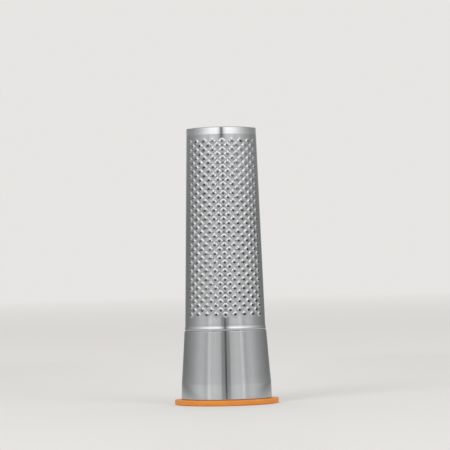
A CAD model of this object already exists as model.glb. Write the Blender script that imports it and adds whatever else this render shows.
# %% [markdown]
# # A nutmeg grater in bright tinplate
#
# This script dresses the solids of a half-round nutmeg grater: finer meshes, finishes, a floor and soft
# light. The grater is tinware, so every sheet is made the way a tinsmith makes it. A flat blank is
# punched and beaded while it is flat, bent round a form, and then given its thickness. Working flat
# keeps the sums easy: on a blank, X is the distance round the body from the middle of its front, Y is
# the height, and Z is how far the metal stands out.

import functools
import math
import random

import bmesh
import bpy
import numpy as np
from mathutils import Matrix, Vector


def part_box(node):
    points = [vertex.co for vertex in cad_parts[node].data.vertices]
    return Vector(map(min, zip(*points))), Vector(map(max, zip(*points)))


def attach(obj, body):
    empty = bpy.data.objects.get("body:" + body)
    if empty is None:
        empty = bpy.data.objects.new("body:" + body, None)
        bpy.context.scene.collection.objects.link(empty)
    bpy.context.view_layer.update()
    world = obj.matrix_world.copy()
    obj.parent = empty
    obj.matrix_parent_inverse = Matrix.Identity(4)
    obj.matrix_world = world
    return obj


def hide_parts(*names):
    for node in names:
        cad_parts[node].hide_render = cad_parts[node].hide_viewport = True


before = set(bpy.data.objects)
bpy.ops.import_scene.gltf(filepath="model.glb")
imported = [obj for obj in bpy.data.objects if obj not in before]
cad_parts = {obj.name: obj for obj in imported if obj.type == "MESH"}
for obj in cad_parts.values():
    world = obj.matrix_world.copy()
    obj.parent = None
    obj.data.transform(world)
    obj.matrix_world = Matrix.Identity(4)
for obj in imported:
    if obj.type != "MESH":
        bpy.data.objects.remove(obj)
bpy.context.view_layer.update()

# %% [markdown]
# ## Sizes
#
# The solids say where the pieces are. Their corners give the mouth, the narrow rim and the flat back,
# and the other sizes are the tinsmith's: how thick the sheet is, how wide the body is at each height,
# and how far its rounded front stands ahead of the straight flanks.

# %% Sizes
mm = 0.001
_, shell_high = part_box("grating_shell")
plate_low, plate_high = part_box("back_plate")
pan_low, pan_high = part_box("store_divider")
_, cap_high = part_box("store_cap")

sheet_thickness = 0.4 * mm
fit_gap = 0.3 * mm
band_height, seam_height = 8.4 * mm, 38.3 * mm
bead_height, rim_height = 3.6 * mm, 4.3 * mm
mouth_z = plate_low.z
band_z = mouth_z + band_height
seam_z = mouth_z + seam_height
wall_top_z = seam_z - fit_gap
bead_top_z = seam_z + bead_height
rim_z = plate_high.z
rim_foot_z = rim_z - rim_height

back_y = shell_high.y
flank_depth = 3.2 * mm
flank_y = back_y - flank_depth
bend_radius = 0.9 * mm
lip_width = 2.6 * mm
body_heights = [mouth_z, band_z, wall_top_z, seam_z, rim_z]
body_half_widths = [25.6 * mm, 25.35 * mm, 23.25 * mm, 22.8 * mm, 19.75 * mm]
body_bows = [18.2 * mm, 17.9 * mm, 16.75 * mm, 16.3 * mm, 19.5 * mm]
print(f"body from {1000 * mouth_z:.1f} to {1000 * rim_z:.1f} mm, seam at {1000 * seam_z:.1f} mm")

# %% [markdown]
# ## The form that the sheets are bent round
#
# The front is half an ellipse and the flanks are straight, which takes more than a circle's formula:
# equal steps round an ellipse aren't equal angles. So the length of the curve is added up once for each
# height, and a distance on the blank is looked up in that table.

# %% The form
arc_samples = 97


def half_width(z):
    return float(np.interp(z, body_heights, body_half_widths))


def bow(z):
    return float(np.interp(z, body_heights, body_bows))


@functools.lru_cache(maxsize=None)
def front_arc(z):
    """Angles round one half of the front, and the distance along it to each."""
    angles = np.linspace(0, math.pi / 2, arc_samples)
    steps = np.hypot(np.diff(half_width(z) * np.sin(angles)), np.diff(bow(z) * np.cos(angles)))
    return angles, np.concatenate(([0], np.cumsum(steps)))


def front_end(z):
    return float(front_arc(z)[1][-1])


def front_point(angle, z):
    wide, deep = half_width(z), bow(z)
    length = math.hypot(deep * math.sin(angle), wide * math.cos(angle))
    place = (wide * math.sin(angle), flank_y - deep * math.cos(angle))
    return place, (deep * math.sin(angle) / length, -wide * math.cos(angle) / length)


def side_marks(z):
    """Distances from the middle of the front to the ends of the front, flank, bend and lip."""
    flank = front_end(z) + flank_depth - bend_radius
    bend = flank + bend_radius * math.pi / 2
    return [front_end(z), flank, bend, bend + lip_width - bend_radius]


def section_point(distance, z):
    """Place and outward normal at a distance round the outside of the body."""
    front, flank, bend, _ = side_marks(z)
    along, wide = abs(distance), half_width(z)
    if along <= front:
        angles, lengths = front_arc(z)
        place, normal = front_point(float(np.interp(along, lengths, angles)), z)
    elif along <= flank:
        place, normal = (wide, flank_y + along - front), (1, 0)
    elif along <= bend:
        turn = (along - flank) / bend_radius
        normal = math.cos(turn), math.sin(turn)
        centre = wide - bend_radius, back_y - bend_radius
        place = centre[0] + bend_radius * normal[0], centre[1] + bend_radius * normal[1]
    else:
        place, normal = (wide - bend_radius - (along - bend), back_y), (0, 1)
    side = math.copysign(1, distance)
    return (place[0] * side, place[1]), (normal[0] * side, normal[1])


def rounded(z):
    """A height to the nearest hundredth of a millimetre, so that few tables are needed."""
    return round(z / mm, 2) * mm


print(f"round the front at the seam: {2000 * front_end(seam_z):.1f} mm")

# %% [markdown]
# ## From blank to sheet
#
# Bending moves each point of the blank to its place on the form and lifts it along the form's normal.
# Solidify then gives the sheet its thickness. A vertex group thins it out at the torn edges of the
# burrs, where the punch has stretched the metal to a knife edge. The modifier is applied, because the
# shading's sharp edges are picked by angle on the final mesh.

# %% Sheet helpers
sharp_crease = math.radians(55)
knife_edge_share = 0.12


def placed(name, data):
    """A new object in the scene that holds some data."""
    thing = bpy.data.objects.new(name, data)
    bpy.context.scene.collection.objects.link(thing)
    return thing


def mesh_from(name, shape):
    """Turn a bmesh into a mesh, and free the bmesh."""
    mesh = bpy.data.meshes.new(name)
    shape.to_mesh(mesh)
    shape.free()
    return mesh


def new_blank():
    blank = bmesh.new()
    blank.verts.layers.float.new("torn")
    return blank


def bend_round_form(blank):
    for vert in blank.verts:
        distance, z, raised = vert.co
        place, normal = section_point(distance, rounded(z))
        vert.co = (place[0] + normal[0] * raised, place[1] + normal[1] * raised, z)


def dressed(name, mesh, body, nodes):
    """Link a mesh as a piece that rides on a body and stands for solids."""
    mesh.shade_smooth()
    mesh.set_sharp_from_angle(angle=sharp_crease)
    piece = placed(name, mesh)
    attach(piece, body)
    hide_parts(*nodes)
    return piece


def with_modifiers_applied(name, mesh, *modifiers):
    """Run modifiers, each (kind, settings), on a mesh through a short-lived object."""
    carrier = placed(name, mesh)
    if any("vertex_group" in settings for _, settings in modifiers):
        carrier.vertex_groups.new(name="thickness")
    for kind, settings in modifiers:
        modifier = carrier.modifiers.new(kind.lower(), kind)
        for key, value in settings.items():
            setattr(modifier, key, value)
    bpy.context.view_layer.update()
    graph = bpy.context.evaluated_depsgraph_get()
    finished = bpy.data.meshes.new_from_object(carrier.evaluated_get(graph))
    bpy.data.objects.remove(carrier)
    finished.name = name
    return finished


def sheet_mesh(name, blank, *more):
    weights = blank.verts.layers.deform.verify()
    torn = blank.verts.layers.float["torn"]
    for vert in blank.verts:
        vert[weights][0] = 1 - (1 - knife_edge_share) * vert[torn]
    bend_round_form(blank)
    thicken = {"thickness": sheet_thickness, "offset": -1, "use_even_offset": True}
    thicken |= {"vertex_group": "thickness", "thickness_vertex_group": 0}
    return with_modifiers_applied(name, mesh_from(name, blank), ("SOLIDIFY", thicken), *more)


thicknesses = [sheet_thickness, knife_edge_share * sheet_thickness]
print("sheet, and its torn edges, mm:", [round(1000 * thickness, 2) for thickness in thicknesses])

# %% [markdown]
# ## Drawing out a border
#
# A rim, a bead or a folded edge is the same short profile carried all the way round a sheet. So a border
# of the blank is extruded level by level, and each level says its height, how far it stands from the
# form, and how far the bead or band is pressed out there. The pressed part fades beside the flanks,
# because a bead can't run round a sharp bend.

# %% Border helpers
touching = 0.02 * mm
press_run = 3.0 * mm
cut_relief = 0.5 * mm


def border_where(blank, gap):
    """Border edges that lie on a line, where gap gives a point's distance from the line."""
    return [
        edge
        for edge in blank.edges
        if edge.is_boundary and all(abs(gap(vert.co)) < touching for vert in edge.verts)
    ]


def border_at(blank, z):
    return border_where(blank, lambda place: place.y - z)


def flap_and_rest(edges, reach):
    """Split a border at a reach from the middle. The last value narrows the flap, to cut it clear."""
    flap = [edge for edge in edges if all(abs(vert.co.x) < reach for vert in edge.verts)]
    widest = max(abs(vert.co.x) for edge in flap for vert in edge.verts)
    return flap, [edge for edge in edges if edge not in flap], 1 - cut_relief / widest


def draw_out(blank, edges, place):
    """Extrude border edges, put the new points where place says, and return the new border."""
    made = bmesh.ops.extrude_edge_only(blank, edges=edges)["geom"]
    verts = {item for item in made if isinstance(item, bmesh.types.BMVert)}
    for vert in verts:
        vert.co = place(*vert.co)
    return [item for item in made if isinstance(item, bmesh.types.BMEdge) and verts.issuperset(item.verts)]


def smooth(share):
    """Keep a share within 0 and 1, and ease it at both ends."""
    share = max(0.0, min(1.0, share))
    return share * share * (3 - 2 * share)


def press_share(distance, z):
    return smooth((front_end(z) - abs(distance)) / press_run)


def draw_levels(blank, edges, levels, fixed_half=0.0, narrowing=1.0):
    """Carry a border through levels of (height, offset, pressed).

    Points within fixed_half of the middle are not moved sideways. Narrowing draws in the first level,
    where a flap is cut clear of its neighbours.
    """
    for z, offset, pressed in levels:

        def place(distance, old_z, _, z=z, offset=offset, pressed=pressed, narrowing=narrowing):
            fixed = [0, fixed_half] if fixed_half else [0]
            old_marks = fixed + side_marks(rounded(old_z))
            new_marks = fixed + side_marks(rounded(z))
            reach = float(np.interp(abs(distance), old_marks, new_marks))
            moved = math.copysign(narrowing * reach, distance)
            return moved, z, offset + pressed * press_share(moved, rounded(z))

        edges = draw_out(blank, edges, place)
        narrowing = 1.0
    return edges


def draw_sides(blank, edge_of, marks):
    """Add strips along both long edges. Each mark turns a height into a distance from the middle."""
    for side in (-1, 1):
        edges = border_where(blank, lambda place: side * place.x - edge_of(rounded(place.y)))
        for mark in marks:
            edges = draw_out(blank, edges, lambda _, z, __: (side * mark(rounded(z)), z, 0))


def fold_marks(flank_steps=1, bend_steps=6, lip_steps=1):
    """Marks over the flank, round the bend and along the lip."""
    spans = [(0, 1, flank_steps), (1, 2, bend_steps), (2, 3, lip_steps)]
    return [
        lambda z, start=start, end=end, share=step / steps: (
            side_marks(z)[start] * (1 - share) + side_marks(z)[end] * share
        )
        for start, end, steps in spans
        for step in range(1, steps + 1)
    ]


seam_marks = [round(1000 * mark, 1) for mark in side_marks(seam_z)]
print("ends of front, flank, bend and lip at the seam, mm:", seam_marks)

# %% [markdown]
# ## The teeth
#
# Each tooth is punched from the back with a four-sided point. The metal rises in a small pyramid,
# tears along the point's four edges, and its petals stand up round the hole with ragged tips. Those
# tips do the grating. The rows are staggered, so the teeth sit on a lattice of diamonds whose sides run
# along both diagonals. A grid that follows those diagonals puts each hole exactly on a square of it:
# the hole is left out, and everything else is a height that depends on how far a point lies from the
# middle of its tooth.

# %% Tooth lattice
tooth_rows = 41
teeth_in_long_row = 9
tooth_pitch = 5.3 * mm
first_row_rise, last_row_drop = 5.5 * mm, 8.2 * mm
first_row_z = bead_top_z + first_row_rise
last_row_z = rim_z - last_row_drop
row_spacing = (last_row_z - first_row_z) / (tooth_rows - 1)
field_half = teeth_in_long_row * tooth_pitch / 2

sliver = 0.12 * mm
bead_support = 0.5 * mm
burr_height = 0.56 * mm
hole_radius = 0.74 * mm
foot_radius = 1.8 * mm
squareness_share = 0.75
ragged_height = 0.10 * mm
petal_dip_share = 0.35
foot_share = 0.93
hole_share = 0.30
steepness = 1.7
hole_edge_share = (1 - hole_share) / 2
half_step_shares = [0, 0.035, 0.11, 0.19, 0.27, hole_edge_share, 0.425]
cell_step_shares = [*half_step_shares, 0.5, *(round(1 - share, 3) for share in reversed(half_step_shares))]
hole_first = half_step_shares.index(hole_edge_share)
hole_last = len(cell_step_shares) - 1 - hole_first


def lattice_point(p, q):
    """From steps along the two diagonals to (distance, height) on the blank."""
    return (p - q) * tooth_pitch / 2, first_row_z + (p + q) * row_spacing


def cell_offset(across, along, punched):
    """Place in a cell from its middle. Across and along run from -1 to 1 between the cell's sides.

    In a punched cell the rings of the grid are round at the hole and nearly square at the foot.
    """
    flat = Vector(((across - along) * tooth_pitch / 4, (across + along) * row_spacing / 2))
    ring = max(abs(across), abs(along))
    if not punched or ring == 0:
        return flat
    outward = flat.normalized()
    if ring <= hole_share:
        return outward * hole_radius * ring / hole_share
    foot = (outward * foot_radius).lerp(flat * foot_share / ring, squareness_share)
    if ring <= foot_share:
        return (outward * hole_radius).lerp(foot, (ring - hole_share) / (foot_share - hole_share))
    return foot.lerp(flat / ring, (ring - foot_share) / (1 - foot_share))


def burr_rise(across, along):
    """Share of the burr's height at a point of a cell: a pyramid that steepens towards its hole."""
    climbed = (foot_share - max(abs(across), abs(along))) / (foot_share - hole_share)
    return max(0.0, min(1.0, climbed)) ** steepness


def tooth_cells():
    """(p, q) of each tooth's cell, which count cells along the two diagonals."""
    for row in range(tooth_rows):
        count = teeth_in_long_row - row % 2
        for column in range(count):
            sideways = 2 * column - (count - 1)
            yield (row + sideways) // 2, (row - sideways) // 2


teeth = set(tooth_cells())
print(f"{len(teeth)} teeth, {1000 * row_spacing:.2f} mm between rows")

# %% [markdown]
# Every burr gets its own seeded scatter, because no two petals tear alike, but the file gives the same
# grater each time. Neighbouring cells share the points between them.

# %% One tooth
scatter = random.Random(7)
tip_low_share, tip_high_share = -0.25, 0.9
notch_share = 0.35
hole_scatter_share = 0.10
torn_from_share = 0.5


def ragged_tips():
    """Height shares round a hole: low at the four torn corners, high and uneven on the petals."""
    side = hole_last - hole_first
    lowest = 1 - petal_dip_share
    tips = {}
    for corner in range(4):
        tip = 1 + scatter.uniform(tip_low_share, tip_high_share) * ragged_height / burr_height
        for step in range(side):
            middle = 1 - abs(2 * step / side - 1)
            uneven = scatter.uniform(-notch_share, notch_share) * ragged_height / burr_height * middle
            tips[corner * side + step] = lowest + (tip - 1 + petal_dip_share) * middle + uneven
    return tips


def hole_index(a, b):
    """Place round the hole's edge of a grid point on it, or None."""
    side = hole_last - hole_first
    a, b = a - hole_first, b - hole_first
    if not (0 <= a <= side and 0 <= b <= side):
        return None
    if b == 0 and a < side:
        return a
    if a == side and b < side:
        return side + b
    if b == side and a > 0:
        return 2 * side + (side - a)
    return 3 * side + (side - b) if a == 0 else None


def add_cell(blank, p, q, points, punched):
    """Grid one diamond cell, raised and pierced if it is punched."""
    torn = blank.verts.layers.float["torn"]
    tips = ragged_tips() if punched else {}
    last = len(cell_step_shares) - 1
    middle = lattice_point(p, q)
    grid = {}
    for a, share_a in enumerate(cell_step_shares):
        for b, share_b in enumerate(cell_step_shares):
            if punched and hole_first < a < hole_last and hole_first < b < hole_last:
                continue
            key = (p * last + a, q * last + b)
            if key not in points:
                across, along = 2 * share_a - 1, 2 * share_b - 1
                offset = cell_offset(across, along, punched)
                edge = hole_index(a, b) if punched else None
                rise = burr_rise(across, along) if punched else 0.0
                if edge is not None:
                    rise = tips[edge % len(tips)]
                    offset *= 1 + scatter.uniform(-hole_scatter_share, hole_scatter_share)
                vert = blank.verts.new((middle[0] + offset.x, middle[1] + offset.y, burr_height * rise))
                torn_share = (rise - torn_from_share) / (1 - torn_from_share)
                vert[torn] = min(1.0, max(0.0, torn_share)) if edge is None else 1.0
                points[key] = vert
            grid[a, b] = points[key]
    for a in range(last):
        for b in range(last):
            corners = [(a, b), (a + 1, b), (a + 1, b + 1), (a, b + 1)]
            in_hole = punched and hole_first <= a < hole_last and hole_first <= b < hole_last
            if not in_hole:
                blank.faces.new([grid[corner] for corner in corners])


print(f"{4 * (hole_last - hole_first)} points round each hole")

# %% [markdown]
# The field of teeth is laid out larger than the sheet needs. Four cuts trim it at the rim band, at the
# bead and down both sides, and points that a cut leaves too close together are merged.

# %% Punch the field
def trim(blank, limit, along, side):
    """Cut off what lies past a limit along X (0) or Y (1), and leave no slivers at the cut."""
    for vert in blank.verts:
        if abs(vert.co[along] - limit) < sliver:
            vert.co[along] = limit
    outward = Vector((0, 0, 0))
    outward[along] = side
    bmesh.ops.bisect_plane(
        blank,
        geom=[*blank.verts, *blank.edges, *blank.faces],
        dist=touching / 100,
        plane_co=outward * side * limit,
        plane_no=outward,
        clear_outer=True,
    )
    cut = [vert for vert in blank.verts if abs(vert.co[along] - limit) < touching / 10]
    bmesh.ops.remove_doubles(blank, verts=cut, dist=sliver)


def punched_field():
    blank = new_blank()
    points = {}
    overrun = 4
    for row in range(-overrun, tooth_rows + overrun):
        for sideways in range(-teeth_in_long_row - 1, teeth_in_long_row + 2):
            if (row + sideways) % 2 == 0:
                p, q = (row + sideways) // 2, (row - sideways) // 2
                add_cell(blank, p, q, points, (p, q) in teeth)
    trim(blank, rim_foot_z, along=1, side=1)
    trim(blank, bead_top_z + bead_support, along=1, side=-1)
    trim(blank, field_half, along=0, side=1)
    trim(blank, -field_half, along=0, side=-1)
    return blank


field = punched_field()
print(f"punched field: {len(field.faces)} faces")

# %% [markdown]
# ## The grating shell
#
# Round the field of teeth the sheet is plain. It gets its margins and folded lips along both sides, the
# bead that grips the store wall below, and the turned rim at the narrow end. The rim is folded inwards
# and back on itself, which is what makes its top edge safe to hold.

# %% Grating shell
bead_reach = 0.5 * mm
crest_share = 0.73
rim_lean = 0.5 * mm
crease_share = 0.12
band_step_shares = [0.04, 0.08, crease_share, 0.3, 0.6, 1]
fold_radius = 0.6 * mm
fold_depth = 3.0 * mm
bead_steps = 12
fold_steps = 8


def bead_levels(offset, steps=bead_steps):
    """Levels from the bead's top down to the seam, leaning so that its crest is nearer the seam."""
    lean = math.log(crest_share, 1 / 2)
    shares = [step / steps for step in range(steps + 1)]
    return [
        (bead_top_z - (bead_top_z - seam_z) * share**lean, offset, bead_reach * math.sin(math.pi * share))
        for share in shares
    ]


def eased(share):
    """How far in the band leans: a curve up to the crease, then a straight line."""
    return share - crease_share / 2 if share > crease_share else share**2 / 2 / crease_share


def band_levels():
    """Up the turned band: an eased crease at its foot, then a straight lean inwards to its top."""
    height = rim_z - fold_radius - rim_foot_z
    return [
        (rim_foot_z + height * share, 0, -rim_lean * eased(share) / eased(1)) for share in band_step_shares
    ]


def fold_levels():
    turns = [math.pi * step / fold_steps for step in range(1, fold_steps + 1)]
    over = [
        (rim_z - fold_radius * (1 - math.sin(turn)), -fold_radius * (1 - math.cos(turn)), -rim_lean)
        for turn in turns
    ]
    return [*over, (rim_z - fold_depth, -2 * fold_radius, -rim_lean)]


def margin_marks(steps=4):
    """Marks from the edge of the field of teeth to the end of the rounded front."""
    return [
        lambda z, share=step / steps: field_half * (1 - share) + front_end(z) * share
        for step in range(1, steps + 1)
    ]


def finish_shell(blank):
    draw_sides(blank, lambda z: field_half, margin_marks() + fold_marks())
    above_bead = border_at(blank, bead_top_z + bead_support)
    draw_levels(blank, above_bead, [(bead_top_z + bead_support / 2, 0, 0), *bead_levels(0)], field_half)
    band_top = draw_levels(blank, border_at(blank, rim_foot_z), band_levels(), field_half)
    folded, plain, narrowing = flap_and_rest(band_top, field_half + fit_gap)
    draw_levels(blank, folded, fold_levels(), field_half, narrowing)
    draw_levels(blank, plain, [(rim_z, 0, -rim_lean)], field_half)
    return sheet_mesh("toothed_sheet", blank)


toothed_sheet = dressed("toothed_sheet", finish_shell(field), "grater_body", ["grating_shell"])
print(f"toothed sheet: {len(toothed_sheet.data.polygons)} faces")

# %% [markdown]
# ## The store wall
#
# Below the bead the body flares faster, and round its mouth it is straighter, so that the cap's plug
# goes in square. The wall's upper edge stands just outside the shell, then steps in and runs up under
# the bead as a tongue. A real sheet never creases to a line, so a few close rows at the change of slope
# let the shading turn softly there. In the middle of the front the seam stands open a little, and shows
# as a thin dark line.

# %% Store wall
wall_columns = 132
ledge_round = 0.3 * mm
seam_slit = 0.03 * mm
edge_support = 0.2 * mm
tongue_edge = 0.8 * mm
tongue_shortfall = 2.0 * mm
wall_step = 0.45 * mm
round_steps = 5
tongue_steps = 6
mouth_rows = [0, edge_support, 2.5 * mm, 5.0 * mm]
band_rows = [-0.9 * mm, -0.45 * mm, 0, 0.45 * mm, 0.9 * mm]
high_row_shares = [0.15, 0.3, 0.45, 0.6, 0.75, 0.9]
open_half, closed_half = 5.0 * mm, 14.0 * mm
sunk_share = 0.6


def sink_ledge(blank, round_z):
    """Press the ledge down in the middle of the front, where the seam stands open a little."""
    for vert in blank.verts:
        above = vert.co.y - round_z
        if touching < above < ledge_round + touching:
            nearness = (closed_half - abs(vert.co.x)) / (closed_half - open_half)
            vert.co.y -= above * sunk_share * smooth(nearness)


def wall_blank():
    blank = new_blank()
    sleeve_top_z = seam_z - seam_slit
    round_z = sleeve_top_z - ledge_round
    low = [mouth_z + row for row in mouth_rows] + [band_z + row for row in band_rows]
    high = [band_z + (round_z - band_z) * share for share in high_row_shares]
    heights = [*low, *high, round_z - edge_support, round_z]
    bmesh.ops.create_grid(blank, x_segments=wall_columns, y_segments=len(heights) - 1, size=1)
    for vert in blank.verts:
        z = heights[round((vert.co.y + 1) / 2 * (len(heights) - 1))]
        vert.co = (vert.co.x * front_end(z), z, 0)
    draw_sides(blank, front_end, fold_marks())
    reach = front_end(round_z) - tongue_shortfall
    stepped, plain, narrowing = flap_and_rest(border_at(blank, round_z), reach)
    draw_levels(blank, plain, [(sleeve_top_z, 0, 0)])
    inset = -(sheet_thickness + fit_gap)
    turns = [math.pi / 2 * step / round_steps for step in range(1, round_steps + 1)]
    ledge = [
        (round_z + ledge_round * math.sin(turn), -ledge_round * (1 - math.cos(turn)), 0) for turn in turns
    ]
    ledge.append((sleeve_top_z, inset - wall_step, 0))
    tongue = [*ledge, *reversed(bead_levels(inset, tongue_steps)), (bead_top_z + tongue_edge, inset, 0)]
    draw_levels(blank, stepped, tongue, narrowing=narrowing)
    sink_ledge(blank, round_z)
    return blank


edge_width = 0.09 * mm
edge_round = {"width": edge_width, "segments": 2, "limit_method": "ANGLE", "angle_limit": math.radians(60)}
wall_mesh = sheet_mesh("store_sleeve", wall_blank(), ("BEVEL", edge_round))
store_sleeve = dressed("store_sleeve", wall_mesh, "grater_body", ["store_wall"])
print(f"store wall: {len(store_sleeve.data.polygons)} faces")

# %% [markdown]
# ## The cap and the divider
#
# Both are D-shaped, so both are rings of one D joined one above another. The cap is moulded plastic: its
# flange has soft edges and a flat underside, and a hollow plug stands on it. The divider is a pressed
# tin pan, upside down, with a rounded shoulder.

# %% Rings of a D
front_columns = 96
corner_columns = 8
least_corner = 0.15 * mm


def d_ring(z, inset, back, corner, section_z):
    """Points round a D that lies inset from the outside of the body at section_z."""
    points = []
    for angle in np.linspace(-math.pi / 2, math.pi / 2, front_columns + 1):
        place, normal = front_point(angle, section_z)
        points.append((place[0] - inset * normal[0], place[1] - inset * normal[1], z))
    corner = max(corner, least_corner)
    corner_x = half_width(section_z) - inset - corner
    for centre_x, start in ((corner_x, 0), (-corner_x, math.pi / 2)):
        for step in range(corner_columns + 1):
            turn = start + math.pi / 2 * step / corner_columns
            across, ahead = corner * math.cos(turn), back - corner + corner * math.sin(turn)
            points.append((centre_x + across, ahead, z))
    return points


def joined_rings(name, rings):
    shape = bmesh.new()
    rings = [[shape.verts.new(point) for point in ring] for ring in rings]
    for low, high in zip(rings, rings[1:]):
        for index in range(len(low)):
            shape.faces.new((low[index - 1], low[index], high[index], high[index - 1]))
    shape.faces.new(reversed(rings[0]))
    shape.faces.new(rings[-1])
    if shape.calc_volume(signed=True) < 0:
        bmesh.ops.reverse_faces(shape, faces=shape.faces)
    return mesh_from(name, shape)


def quarter(radius, steps=6):
    """(in, up) pairs round an outside edge, from its underside to its side."""
    turns = [math.pi / 2 * step / steps for step in range(steps + 1)]
    return [(radius * (1 - math.sin(turn)), radius * (1 - math.cos(turn))) for turn in turns]


print(f"a ring has {front_columns + 1 + 2 * (corner_columns + 1)} points")

# %% The divider
pan_top_z = pan_high.z
pan_rim = pan_high.z - pan_low.z
pan_outer = 2 * (sheet_thickness + fit_gap)
pan_back = plate_low.y - fit_gap
pan_round = 0.45 * mm
pan_corner = 1.2 * mm


def pan_ring(z, inward):
    return d_ring(z, pan_outer + inward, pan_back - inward, pan_corner - inward, z)


def pan_rings():
    rings = [pan_ring(pan_top_z - up, inward) for inward, up in quarter(pan_round)]
    rings += [pan_ring(pan_top_z - pan_rim, 0), pan_ring(pan_top_z - pan_rim, sheet_thickness)]
    return [*rings, pan_ring(pan_top_z - sheet_thickness, sheet_thickness)]


pan_mesh = joined_rings("divider_pan", pan_rings())
divider_pan = dressed("divider_pan", pan_mesh, "grater_body", ["store_divider"])
print(f"divider: {len(divider_pan.data.polygons)} faces")

# %% [markdown]
# The cap's underside carries the small dimple where the plastic entered the mould. It is cut with a
# Boolean, because a round cut in a flat face is exactly what that tool is good at.

# %% The cap
flange_thickness = mouth_z - fit_gap
flange_overhang = cap_high.x - body_half_widths[0]
flange_corner = cap_high.y - flank_y
flange_round = 0.9 * mm
plug_top_z = cap_high.z
plug_wall = 1.3 * mm
plug_lead = 0.5 * mm
plug_corner = 1.2 * mm
cap_floor = 1.5 * mm
gate_radius = 1.6 * mm
gate_depth = 0.25 * mm
gate_sides = 32


def flange_ring(z, inward):
    return d_ring(z, inward - flange_overhang, cap_high.y - inward, flange_corner - inward, mouth_z)


def plug_ring(z, inward):
    inset = sheet_thickness + fit_gap + inward
    return d_ring(z, inset, plate_low.y - fit_gap - inward, plug_corner - inward, z)


def cap_rings():
    rings = [flange_ring(up, inward) for inward, up in quarter(flange_round)]
    rings += [flange_ring(flange_thickness - up, inward) for inward, up in reversed(quarter(flange_round))]
    rings += [plug_ring(flange_thickness, 0), plug_ring(plug_top_z - plug_lead, 0)]
    rings += [plug_ring(plug_top_z, plug_lead), plug_ring(plug_top_z, plug_wall)]
    return [*rings, plug_ring(cap_floor, plug_wall)]


def cylinder(name, radius, length, sides, capped=True, middle_z=0):
    """A cylinder with flat ends, or an open tube."""
    shape = bmesh.new()
    size = {"segments": sides, "radius1": radius, "radius2": radius, "depth": length}
    bmesh.ops.create_cone(shape, cap_ends=capped, matrix=Matrix.Translation((0, 0, middle_z)), **size)
    return mesh_from(name, shape)


cutter = placed("gate_cutter", cylinder("gate_cutter", gate_radius, 2 * gate_depth, gate_sides))
cap_mesh = with_modifiers_applied(
    "store_cap_moulding",
    joined_rings("store_cap_moulding", cap_rings()),
    ("BOOLEAN", {"object": cutter, "operation": "DIFFERENCE", "solver": "MANIFOLD"}),
)
bpy.data.objects.remove(cutter)
store_cap_moulding = dressed("store_cap_moulding", cap_mesh, "cap", ["store_cap"])
print(f"cap: {len(store_cap_moulding.data.polygons)} faces")

# %% [markdown]
# ## Finishes
#
# Bare tinplate is a mirror that has been rolled, stamped and handled. Four effects make it: fine grain
# along the rolling direction, slow waves where the sheet was worked, hairline scratches, and the
# patchy bloom of handling. Scratches and handling marks show on the plastic too. So each effect is a
# node group with its own inputs, built once and placed in each material with that material's values.

# %% Node helpers
def feed(tree, node, inputs):
    """Give inputs of a node plain values, or link them to other nodes' sockets."""
    for key, value in inputs.items():
        if isinstance(value, bpy.types.NodeSocket):
            tree.links.new(value, node.inputs[key])
        else:
            node.inputs[key].default_value = value


def put(tree, kind, inputs=None, **settings):
    """Add a node, set it up and feed it."""
    node = tree.nodes.new(kind)
    for key, value in settings.items():
        setattr(node, key, value)
    feed(tree, node, inputs or {})
    return node


def new_group(name, values, results):
    """A node group with named number inputs and outputs. Returns it, its inputs and its last node."""
    group = bpy.data.node_groups.new(name, "ShaderNodeTree")
    for label, default in values.items():
        socket = group.interface.new_socket(name=label, in_out="INPUT", socket_type="NodeSocketFloat")
        socket.default_value = default
    for label in results:
        group.interface.new_socket(name=label, in_out="OUTPUT", socket_type="NodeSocketFloat")
    return group, group.nodes.new("NodeGroupInput").outputs, group.nodes.new("NodeGroupOutput")


def object_place(tree):
    return put(tree, "ShaderNodeTexCoord").outputs["Object"]


def counted_in(tree, place, *sizes):
    """A place counted in units of three sizes, one for each axis."""
    unit = put(tree, "ShaderNodeCombineXYZ", dict(enumerate(sizes))).outputs[0]
    return put(tree, "ShaderNodeVectorMath", {0: place, 1: unit}, operation="DIVIDE").outputs[0]


def noise(tree, place, detail, **more):
    inputs = {"Vector": place, "Scale": 1.0, "Detail": detail, **more}
    return put(tree, "ShaderNodeTexNoise", inputs).outputs["Fac"]


def stretch(tree, value, low, high):
    """Map low to 0 and high to 1, clamped."""
    inputs = {"Value": value, "From Min": low, "From Max": high}
    return put(tree, "ShaderNodeMapRange", inputs).outputs["Result"]


def reckoned(tree, operation, *values):
    return put(tree, "ShaderNodeMath", dict(enumerate(values)), operation=operation).outputs[0]


def times(tree, first, second):
    return reckoned(tree, "MULTIPLY", first, second)


def plus(tree, first, second):
    return reckoned(tree, "ADD", first, second)


print("node helpers are ready")

# %% Streaks and scratches
hairline_leans = [math.radians(24), math.radians(-37)]
hairline_low, hairline_high = 0.68, 0.80


def make_streaks():
    """Noise drawn out along the height: grain when it is fine, waves when it is broad."""
    group, given, result = new_group(
        "streaks", {"Width": 0.1 * mm, "Length": 10 * mm, "Detail": 2.0}, ["Height"]
    )
    place = counted_in(group, object_place(group), given["Width"], given["Width"], given["Length"])
    feed(group, result, {"Height": noise(group, place, given["Detail"])})
    return group


def make_hairlines():
    """Sparse thin scratches that lean both ways."""
    group, given, result = new_group("hairlines", {"Width": 0.12 * mm, "Length": 9 * mm}, ["Mask"])
    place = object_place(group)
    masks = []
    for lean in hairline_leans:
        turn = {"Vector": place, "Angle": lean}
        turned = put(group, "ShaderNodeVectorRotate", turn, rotation_type="Y_AXIS").outputs[0]
        turned = counted_in(group, turned, given["Width"], given["Length"], given["Length"])
        masks.append(stretch(group, noise(group, turned, detail=1.0), hairline_low, hairline_high))
    feed(group, result, {"Mask": reckoned(group, "MAXIMUM", *masks)})
    return group


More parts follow.
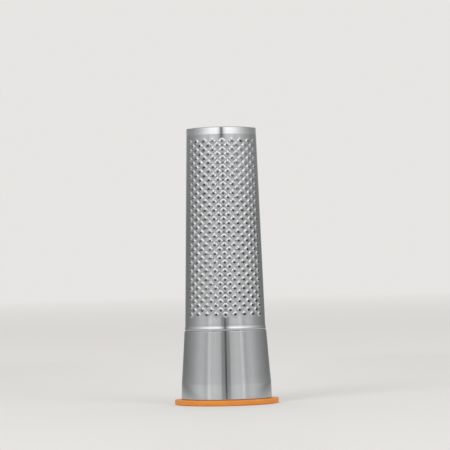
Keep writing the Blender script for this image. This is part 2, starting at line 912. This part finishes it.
effects = {"streaks": make_streaks(), "hairlines": make_hairlines()}
print("shared effects:", ", ".join(effects))

# %% Handling and rubbed edges
rub_low, rub_high = 0.35, 0.6


def make_handling():
    """Patches where fingers and shelves have dulled the surface."""
    group, given, result = new_group("handling", {"Size": 14 * mm, "Low": 0.42, "High": 0.68}, ["Mask"])
    place = counted_in(group, object_place(group), given["Size"], given["Size"], given["Size"])
    patches = noise(group, place, detail=4.0, Roughness=0.6)
    feed(group, result, {"Mask": stretch(group, patches, given["Low"], given["High"])})
    return group


def make_edge_rub():
    """Convex edges, broken up by noise, where a surface is rubbed first."""
    group, given, result = new_group("edge rub", {"Low": 0.51, "High": 0.56, "Size": 3 * mm}, ["Mask"])
    convex = put(group, "ShaderNodeNewGeometry").outputs["Pointiness"]
    edge = stretch(group, convex, given["Low"], given["High"])
    place = counted_in(group, object_place(group), given["Size"], given["Size"], given["Size"])
    broken = stretch(group, noise(group, place, detail=3.0), rub_low, rub_high)
    feed(group, result, {"Mask": times(group, edge, broken)})
    return group


effects |= {"handling": make_handling(), "edge rub": make_edge_rub()}
print("shared effects:", ", ".join(effects))

# %% [markdown]
# ## Tinplate
#
# One function makes every tin finish, because the sheets come off one roll. What differs is how much the
# sheet was worked: the punched sheet is rougher round its burrs, and the flat back plate has longer,
# lazier waves. The torn tips of the burrs are fresh steel, brighter than the tin around them, and a
# mask stored in the mesh says where they are.

# %% Material helpers
def use(tree, effect, **values):
    """Place a shared effect in a material with that material's values."""
    return put(tree, "ShaderNodeGroup", values, node_tree=effects[effect]).outputs


def mixed(tree, share, first, second):
    """Mix two colours by a share. A Mix node's colours are its inputs 6 and 7 and its output 2."""
    return put(tree, "ShaderNodeMix", {0: share, 6: first, 7: second}, data_type="RGBA").outputs[2]


def new_material(name):
    material = bpy.data.materials.new(name)
    material.use_nodes = True
    return material, material.node_tree, material.node_tree.nodes["Principled BSDF"]


def finish_with(piece, material):
    piece.data.materials.clear()
    piece.data.materials.append(material)


print("material helpers are ready")

# %% Tinplate materials
bright_tin = (0.80, 0.81, 0.82, 1)
dull_tin = (0.765, 0.77, 0.775, 1)
fresh_steel = (0.86, 0.86, 0.87, 1)
handled_dulling, line_dulling, torn_dulling = 0.05, 0.08, 0.10
wave_stretch = 4
grain = {"Width": 0.09 * mm, "Length": 14 * mm, "Detail": 3.0}


def tinplate(name, wave_height, wave_width, base_roughness, grain_height=0.0004 * mm, torn_tips=False):
    material, tree, shader = new_material(name)
    handled = use(tree, "handling", Size=16 * mm)["Mask"]
    cloudy = use(tree, "handling", Size=5 * mm, Low=0.35, High=0.75)["Mask"]
    lines = use(tree, "hairlines")["Mask"]
    colour = mixed(tree, cloudy, bright_tin, dull_tin)
    roughness = plus(tree, times(tree, handled, handled_dulling), base_roughness)
    roughness = plus(tree, roughness, times(tree, lines, line_dulling))
    if torn_tips:
        tips = put(tree, "ShaderNodeAttribute", attribute_name="torn").outputs["Fac"]
        colour = mixed(tree, tips, colour, fresh_steel)
        roughness = plus(tree, roughness, times(tree, tips, torn_dulling))
    waves = use(tree, "streaks", Width=wave_width, Length=wave_stretch * wave_width, Detail=1.0)["Height"]
    lines = use(tree, "streaks", **grain)["Height"]
    slow = put(tree, "ShaderNodeBump", {"Height": waves, "Strength": 1.0, "Distance": wave_height})
    fine = {"Height": lines, "Strength": 1.0, "Distance": grain_height, "Normal": slow.outputs["Normal"]}
    bump = put(tree, "ShaderNodeBump", fine).outputs["Normal"]
    feed(tree, shader, {"Base Color": colour, "Roughness": roughness, "Normal": bump, "Metallic": 1.0})
    return material


slow_waves = {"wave_height": 0.03 * mm, "wave_width": 7 * mm}
small_waves = {"wave_height": 0.02 * mm, "wave_width": 6 * mm}
lazy_waves = {"wave_height": 0.08 * mm, "wave_width": 16 * mm}
finish_with(toothed_sheet, tinplate("punched_tinplate", **slow_waves, base_roughness=0.09, torn_tips=True))
finish_with(store_sleeve, tinplate("rolled_tinplate", **slow_waves, base_roughness=0.06))
finish_with(divider_pan, tinplate("pressed_tinplate", **small_waves, base_roughness=0.14))
back_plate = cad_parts["back_plate"]
flat_tinplate = tinplate("flat_tinplate", **lazy_waves, base_roughness=0.10, grain_height=0.0006 * mm)
for index in range(len(back_plate.material_slots)):
    back_plate.material_slots[index].material = flat_tinplate
print("tin finishes:", [material.name for material in bpy.data.materials if "tinplate" in material.name])

# %% [markdown]
# ## Cap plastic
#
# The cap is a coloured polypropylene. It is a little waxy, so some light goes into it and comes out
# again, and its mould left a fine texture. Handling dulls it in patches and pales its edges.

# %% Cap material
orange = (0.81, 0.285, 0.035, 1)
orange_shade = (0.75, 0.25, 0.03, 1)
orange_rubbed = (0.92, 0.45, 0.12, 1)
rubbed_share = 0.35
cap_roughness, patch_dulling, scratch_dulling = 0.34, 0.10, 0.12
skin_size, skin_height = 0.22 * mm, 0.006 * mm
glow_share, glow_reach = 0.12, (1.2 * mm, 0.5 * mm, 0.2 * mm)


def cap_plastic():
    material, tree, shader = new_material("orange_plastic")
    patches = use(tree, "handling", Size=9 * mm)["Mask"]
    lines = use(tree, "hairlines", Width=0.1 * mm, Length=5 * mm)["Mask"]
    rubbed = use(tree, "edge rub")["Mask"]
    colour = mixed(tree, patches, orange, orange_shade)
    colour = mixed(tree, times(tree, rubbed, rubbed_share), colour, orange_rubbed)
    roughness = plus(tree, times(tree, patches, patch_dulling), cap_roughness)
    roughness = plus(tree, roughness, times(tree, lines, scratch_dulling))
    place = counted_in(tree, object_place(tree), skin_size, skin_size, skin_size)
    skin = {"Height": noise(tree, place, detail=2.0), "Strength": 1.0, "Distance": skin_height}
    bump = put(tree, "ShaderNodeBump", skin).outputs["Normal"]
    feed(tree, shader, {"Base Color": colour, "Roughness": roughness, "Normal": bump})
    below = {"Subsurface Weight": glow_share, "Subsurface Radius": glow_reach, "Subsurface Scale": 1.0}
    feed(tree, shader, below)
    return material


finish_with(store_cap_moulding, cap_plastic())
print("cap finish: orange_plastic")

# %% [markdown]
# ## Floor and light
#
# Polished tin shows its surroundings, so it is photographed inside a light tent with a slot for the
# lens. Here the tent is a glowing cylinder that only reflections can see: bright high up, calmer at the
# height of the camera, dark in the slot, and dim at the sides, which is what gives the round body its
# shape. Everything else is lit by a plain pale world and two soft lamps. Far from the grater the
# floor takes the colour of the world, so that no horizon shows, and it is clear to a lens that looks up
# at it, so that the underside of the grater can be seen.

# %% World and floor
world_level = 0.80
studio_white = (1.0, 0.985, 0.965, 1)
floor_colour = (0.80, 0.79, 0.775, 1)
floor_roughness = 0.9
floor_radius = 9.0
fade_start, fade_end = 1.2, 3.5
disc_sides = 96


def pale_world():
    world = bpy.data.worlds.new("pale_studio")
    world.use_nodes = True
    background = world.node_tree.nodes["Background"]
    feed(world.node_tree, background, {"Color": studio_white, "Strength": world_level})
    bpy.context.scene.world = world


def disc_mesh(name, radius):
    shape = bmesh.new()
    bmesh.ops.create_circle(shape, cap_ends=True, radius=radius, segments=disc_sides)
    return mesh_from(name, shape)


def distance_out(tree):
    """How far a point lies from the middle of a disc."""
    place = {0: object_place(tree)}
    return put(tree, "ShaderNodeVectorMath", place, operation="LENGTH").outputs["Value"]


def pale_floor():
    floor = placed("floor", disc_mesh("floor", floor_radius))
    material, tree, shader = new_material("pale_floor")
    feed(tree, shader, {"Base Color": floor_colour, "Roughness": floor_roughness})
    far = stretch(tree, distance_out(tree), fade_start, fade_end)
    glow = put(tree, "ShaderNodeEmission", {"Color": studio_white, "Strength": world_level}).outputs[0]
    faded = put(tree, "ShaderNodeMixShader", {0: far, 1: shader.outputs[0], 2: glow}).outputs[0]
    behind = put(tree, "ShaderNodeNewGeometry").outputs["Backfacing"]
    seen = put(tree, "ShaderNodeLightPath").outputs["Is Camera Ray"]
    clear = put(tree, "ShaderNodeBsdfTransparent").outputs[0]
    one_sided = put(tree, "ShaderNodeMixShader", {0: times(tree, behind, seen), 1: faded, 2: clear})
    feed(tree, tree.nodes["Material Output"], {"Surface": one_sided.outputs[0]})
    floor.data.materials.append(material)


pale_world()
pale_floor()
print(f"world and floor at {world_level}")

# %% [markdown]
# The tent's glow is set by two ramps round the grater, one for the height of the body and one for high
# up. Each ramp is a short list of (degrees from the lens, level), chosen by eye: the slot, a soft panel
# on either side of it, the dim sides, and one more panel straight behind, for the flat back plate. In
# the low ramp each front panel has a brighter seam near its edge. The tent brightens a little at its
# foot, a grey card lies under the grater, and a grey lid closes the top: the undersides and the steep
# upper sides of the burrs reflect those two.

# %% Levels round the tent
tent_scale = 1.35
low_levels = [
    (0, 0.08), (1.2, 0.09), (2.2, 0.26), (7.5, 0.28), (9.5, 0.47), (17, 0.53), (22, 0.56), (29, 0.54),
    (32, 0.64), (35, 0.63), (37, 0.50), (41, 0.43), (48, 0.49), (56, 0.50), (66, 0.43), (80, 0.33),
    (100, 0.25), (125, 0.19), (150, 0.20), (166, 0.45), (173, 0.70), (180, 0.56),
]
high_levels = [
    (0, 0.18), (3, 0.26), (5, 0.60), (10, 1.02), (18, 1.24), (36, 1.18), (52, 0.98), (66, 0.74), (85, 0.52),
    (110, 0.36), (150, 0.34), (166, 0.6), (180, 0.7),
]


def grey(level):
    return (level, level, level, 1)


def azimuth_ramp(tree, azimuth, levels):
    """A ramp over 0 to 180 degrees. Its colours are shares of tent_scale, so that none passes 1."""
    ramp = put(tree, "ShaderNodeValToRGB", {"Fac": azimuth})
    stops = ramp.color_ramp.elements
    while len(stops) < len(levels):
        stops.new(1.0)
    for stop, (degrees, level) in zip(stops, levels):
        stop.position = degrees / 180
        stop.color = grey(level / tent_scale)
    return ramp.outputs["Color"]


def azimuth_of(tree, parts):
    """Share of half a turn, 0 in front and 1 behind, the same on both sides."""
    turn = reckoned(tree, "ARCTAN2", parts["X"], times(tree, parts["Y"], -1))
    return times(tree, reckoned(tree, "ABSOLUTE", turn), 1 / math.pi)


print(f"ramps of {len(low_levels)} and {len(high_levels)} levels")

# %% Light tent
tent_azimuth = math.radians(-0.45)
tent_radius = 0.55
tent_top = 0.85
tent_sides = 144
low_height, high_height = 0.12, 0.33
top_start, top_end = 0.55, 0.80
foot_glow, foot_low, foot_high = 0.3, 0.0, 0.025
lid_level = 0.45


def only_reflected(name, mesh):
    """Make a mesh glow in reflections only. The camera can't see it, and it gives no light or shadow."""
    thing = placed(name, mesh)
    thing.visible_camera = False
    thing.visible_diffuse = False
    thing.visible_shadow = False
    material, tree, shader = new_material(name)
    tree.nodes.remove(shader)
    glow = tree.nodes.new("ShaderNodeEmission")
    feed(tree, tree.nodes["Material Output"], {"Surface": glow.outputs[0]})
    mesh.materials.append(material)
    return thing, tree, glow


def light_tent():
    wall = cylinder("light_tent", tent_radius, tent_top, tent_sides, capped=False, middle_z=tent_top / 2)
    tent, tree, glow = only_reflected("light_tent", wall)
    tent.rotation_euler.z = tent_azimuth
    parts = put(tree, "ShaderNodeSeparateXYZ", {0: object_place(tree)}).outputs
    turn = azimuth_of(tree, parts)
    low = azimuth_ramp(tree, turn, low_levels)
    high = azimuth_ramp(tree, turn, high_levels)
    colour = mixed(tree, stretch(tree, parts["Z"], low_height, high_height), low, high)
    near_top = stretch(tree, parts["Z"], top_start, top_end)
    colour = mixed(tree, near_top, colour, grey(lid_level / tent_scale))
    near_foot = stretch(tree, parts["Z"], foot_high, foot_low)
    strength = plus(tree, times(tree, near_foot, foot_glow * tent_scale), tent_scale)
    feed(tree, glow, {"Color": colour, "Strength": strength})


light_tent()
print(f"tent: radius {tent_radius} m, {tent_top} m tall")

# %% Card and lid
card_level = 0.50
card_inner, card_outer = 0.06, 0.34
card_z = 0.5 * mm


def tent_disc(name, z):
    disc, tree, glow = only_reflected(name, disc_mesh(name, tent_radius))
    disc.location.z = z
    disc.rotation_euler.z = tent_azimuth
    return tree, glow


def grey_card():
    """Grey under the grater, and farther out the colour of the tent's foot."""
    tree, glow = tent_disc("grey_card", card_z)
    parts = put(tree, "ShaderNodeSeparateXYZ", {0: object_place(tree)}).outputs
    far = azimuth_ramp(tree, azimuth_of(tree, parts), low_levels)
    outward = stretch(tree, distance_out(tree), card_inner, card_outer)
    colour = mixed(tree, outward, grey(card_level / tent_scale), far)
    feed(tree, glow, {"Color": colour, "Strength": tent_scale})


def tent_lid():
    tree, glow = tent_disc("tent_lid", tent_top)
    feed(tree, glow, {"Color": grey(lid_level), "Strength": 1.0})


grey_card()
tent_lid()
print(f"card at {card_level}, lid at {lid_level}")

# %% Soft lamps
lamp_aim = Vector((0, 0, 70 * mm))


def soft_lamp(name, place, size, watts):
    lamp = bpy.data.lights.new(name, "AREA")
    lamp.shape = "DISK"
    lamp.size = size
    lamp.energy = watts
    holder = placed(name, lamp)
    holder.location = place
    holder.rotation_euler = (lamp_aim - Vector(place)).to_track_quat("-Z", "Y").to_euler()
    holder.visible_glossy = False


soft_lamp("key_lamp", place=(-1.1, -1.3, 1.5), size=0.9, watts=9)
soft_lamp("fill_lamp", place=(1.3, -1.2, 1.0), size=1.1, watts=5)
print("two soft lamps")

# %% [markdown]
# ## Camera
#
# The curves of the rim, the rows and the mouth give the viewpoint away: the rim bows upwards and the
# mouth downwards, so the lens is level with the middle of the body and about a metre off. It stands a
# little over one degree to the left of the front, and it is turned a little about its own axis.

# %% Camera
sensor_width = 36
frame_width = 253.3 * mm
camera_azimuth = math.radians(-1.35)
camera_distance = 1.095
camera_height = 79.9 * mm
look_at = Vector((0.87 * mm, 0, 100.9 * mm))
camera_roll = math.radians(1.24)


def photo_camera():
    data = bpy.data.cameras.new("photo_camera")
    data.sensor_width = sensor_width
    data.lens = sensor_width * camera_distance / frame_width
    data.clip_start, data.clip_end = 0.05, 60
    camera = placed("photo_camera", data)
    ahead = Vector((math.sin(camera_azimuth), -math.cos(camera_azimuth), 0))
    camera.location = look_at + camera_distance * ahead
    camera.location.z = camera_height
    camera.rotation_euler = (look_at - camera.location).to_track_quat("-Z", "Y").to_euler()
    camera.rotation_euler.rotate_axis("Z", -camera_roll)
    bpy.context.scene.camera = camera
    return camera


camera = photo_camera()
bpy.context.scene.view_settings.view_transform = "Standard"
print(f"lens {camera.data.lens:.0f} mm")
